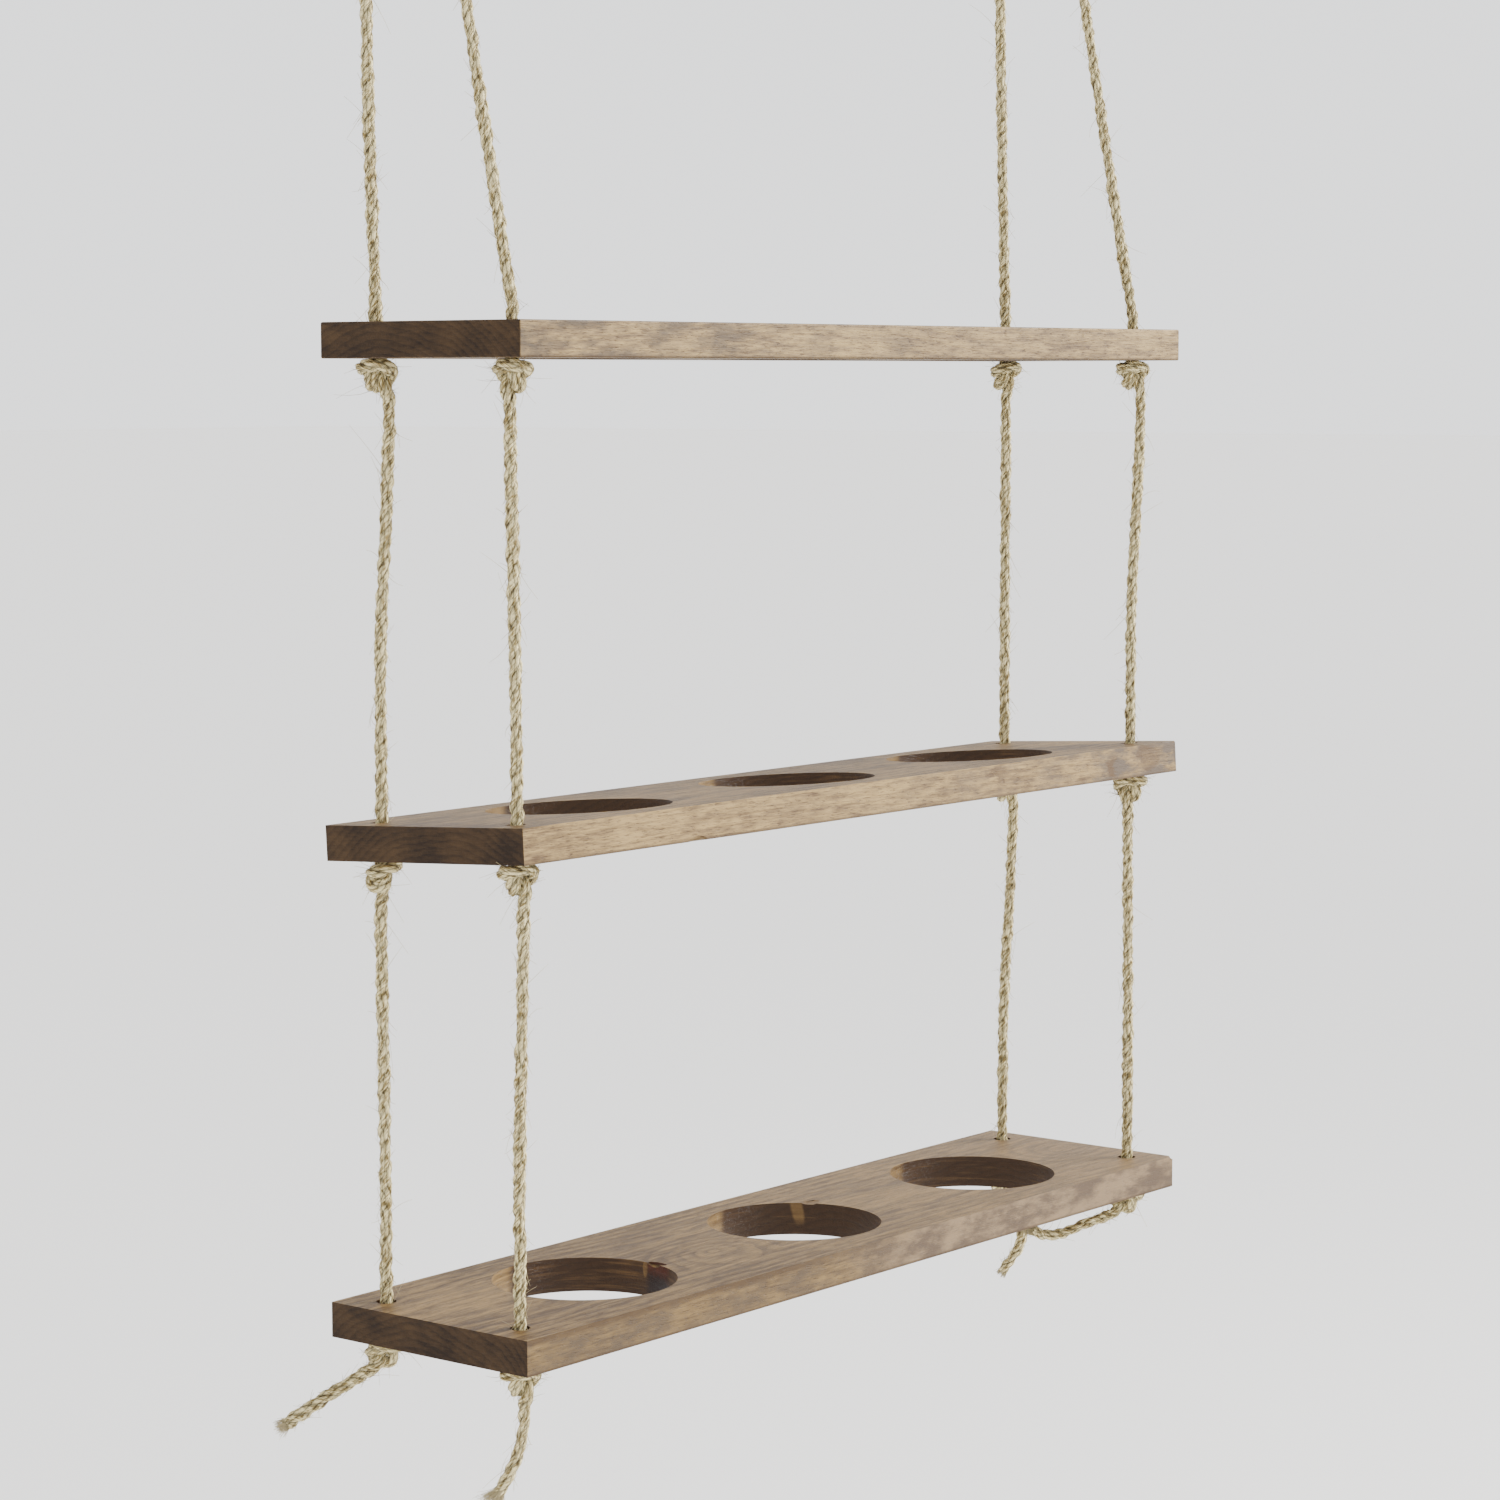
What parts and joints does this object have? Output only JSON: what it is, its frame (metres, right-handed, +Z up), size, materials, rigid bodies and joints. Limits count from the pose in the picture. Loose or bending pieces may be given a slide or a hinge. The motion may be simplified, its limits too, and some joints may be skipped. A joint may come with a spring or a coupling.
{
  "type": "hanging rope shelf",
  "caption": "Stained wooden boards with round pot holes, hung in tiers on knotted sisal ropes that meet in loops over wall hooks.",
  "frame": {"origin": "midway between the backs of the two wall plates, at the height of the top of the hook rods", "axes": "+X along the shelf to the right as seen from the room, +Y into the wall, +Z up; the wall is the plane y = 0"},
  "size_m": [0.6477, 0.1433, 1.2278],
  "materials": {
    "stained_wood": "brown oil stain, satin, open straight grain",
    "sisal": "natural three-strand laid rope, matte and hairy",
    "zinc_steel": "zinc plated"
  },
  "bodies": {
    "wall_hooks": {"wall_plate_left": "zinc_steel", "wall_plate_right": "zinc_steel", "hook_rod_left": "zinc_steel", "hook_rod_right": "zinc_steel", "hook_screw_upper_left": "zinc_steel", "hook_screw_lower_left": "zinc_steel", "hook_screw_upper_right": "zinc_steel", "hook_screw_lower_right": "zinc_steel"},
    "loops": {"rope_loop_left": "sisal", "rope_loop_right": "sisal"},
    "left_hanger": {"loop_knot_left": "sisal", "hanger_rope_left_back": "sisal", "hanger_rope_left_front": "sisal"},
    "right_hanger": {"loop_knot_right": "sisal", "hanger_rope_right_back": "sisal", "hanger_rope_right_front": "sisal"},
    "rope_frame": {"top_board": "stained_wood", "knot_top_left_back": "sisal", "knot_top_left_front": "sisal", "knot_top_right_back": "sisal", "knot_top_right_front": "sisal", "knot_middle_left_back": "sisal", "knot_middle_left_front": "sisal", "knot_middle_right_back": "sisal", "knot_middle_right_front": "sisal", "knot_bottom_left_back": "sisal", "knot_bottom_left_front": "sisal", "knot_bottom_right_back": "sisal", "knot_bottom_right_front": "sisal", "upper_rope_left_back": "sisal", "upper_rope_left_front": "sisal", "upper_rope_right_back": "sisal", "upper_rope_right_front": "sisal", "lower_rope_left_back": "sisal", "lower_rope_left_front": "sisal", "lower_rope_right_back": "sisal", "lower_rope_right_front": "sisal", "rope_tail_left_back": "sisal", "rope_tail_left_front": "sisal", "rope_tail_right_back": "sisal", "rope_tail_right_front": "sisal"},
    "middle_shelf": {"middle_board": "stained_wood"},
    "bottom_shelf": {"bottom_board": "stained_wood"}
  },
  "joints": [
    {"name": "swing_out", "type": "hinge", "parent": "wall_hooks", "child": "loops", "pos_m": [0, -0.017, 0], "axis": [-1, 0, 0], "range_deg": [0, 20]},
    {"name": "sway", "type": "hinge", "parent": "loops", "child": "left_hanger", "pos_m": [-0.286, -0.017, -0.04], "axis": [0, 1, 0], "range_deg": [-8, 8]},
    {"name": "sway_right", "type": "hinge", "parent": "loops", "child": "right_hanger", "pos_m": [0.286, -0.017, -0.04], "axis": [0, 1, 0], "range_deg": [-8, 8]},
    {"name": "stay_level", "type": "hinge", "parent": "left_hanger", "child": "rope_frame", "pos_m": [-0.286, -0.073, -0.6], "axis": [0, 1, 0], "range_deg": [-8, 8]},
    {"name": "lift_middle_board", "type": "slide", "parent": "rope_frame", "child": "middle_shelf", "axis": [0, 0, 1], "range_m": [0, 0.1]},
    {"name": "lift_bottom_board", "type": "slide", "parent": "rope_frame", "child": "bottom_shelf", "axis": [0, 0, 1], "range_m": [0, 0.1]}
  ],
  "couplings": [
    {"joint": "sway_right", "follows": "sway", "ratio": 1},
    {"joint": "stay_level", "follows": "sway", "ratio": -1}
  ]
}
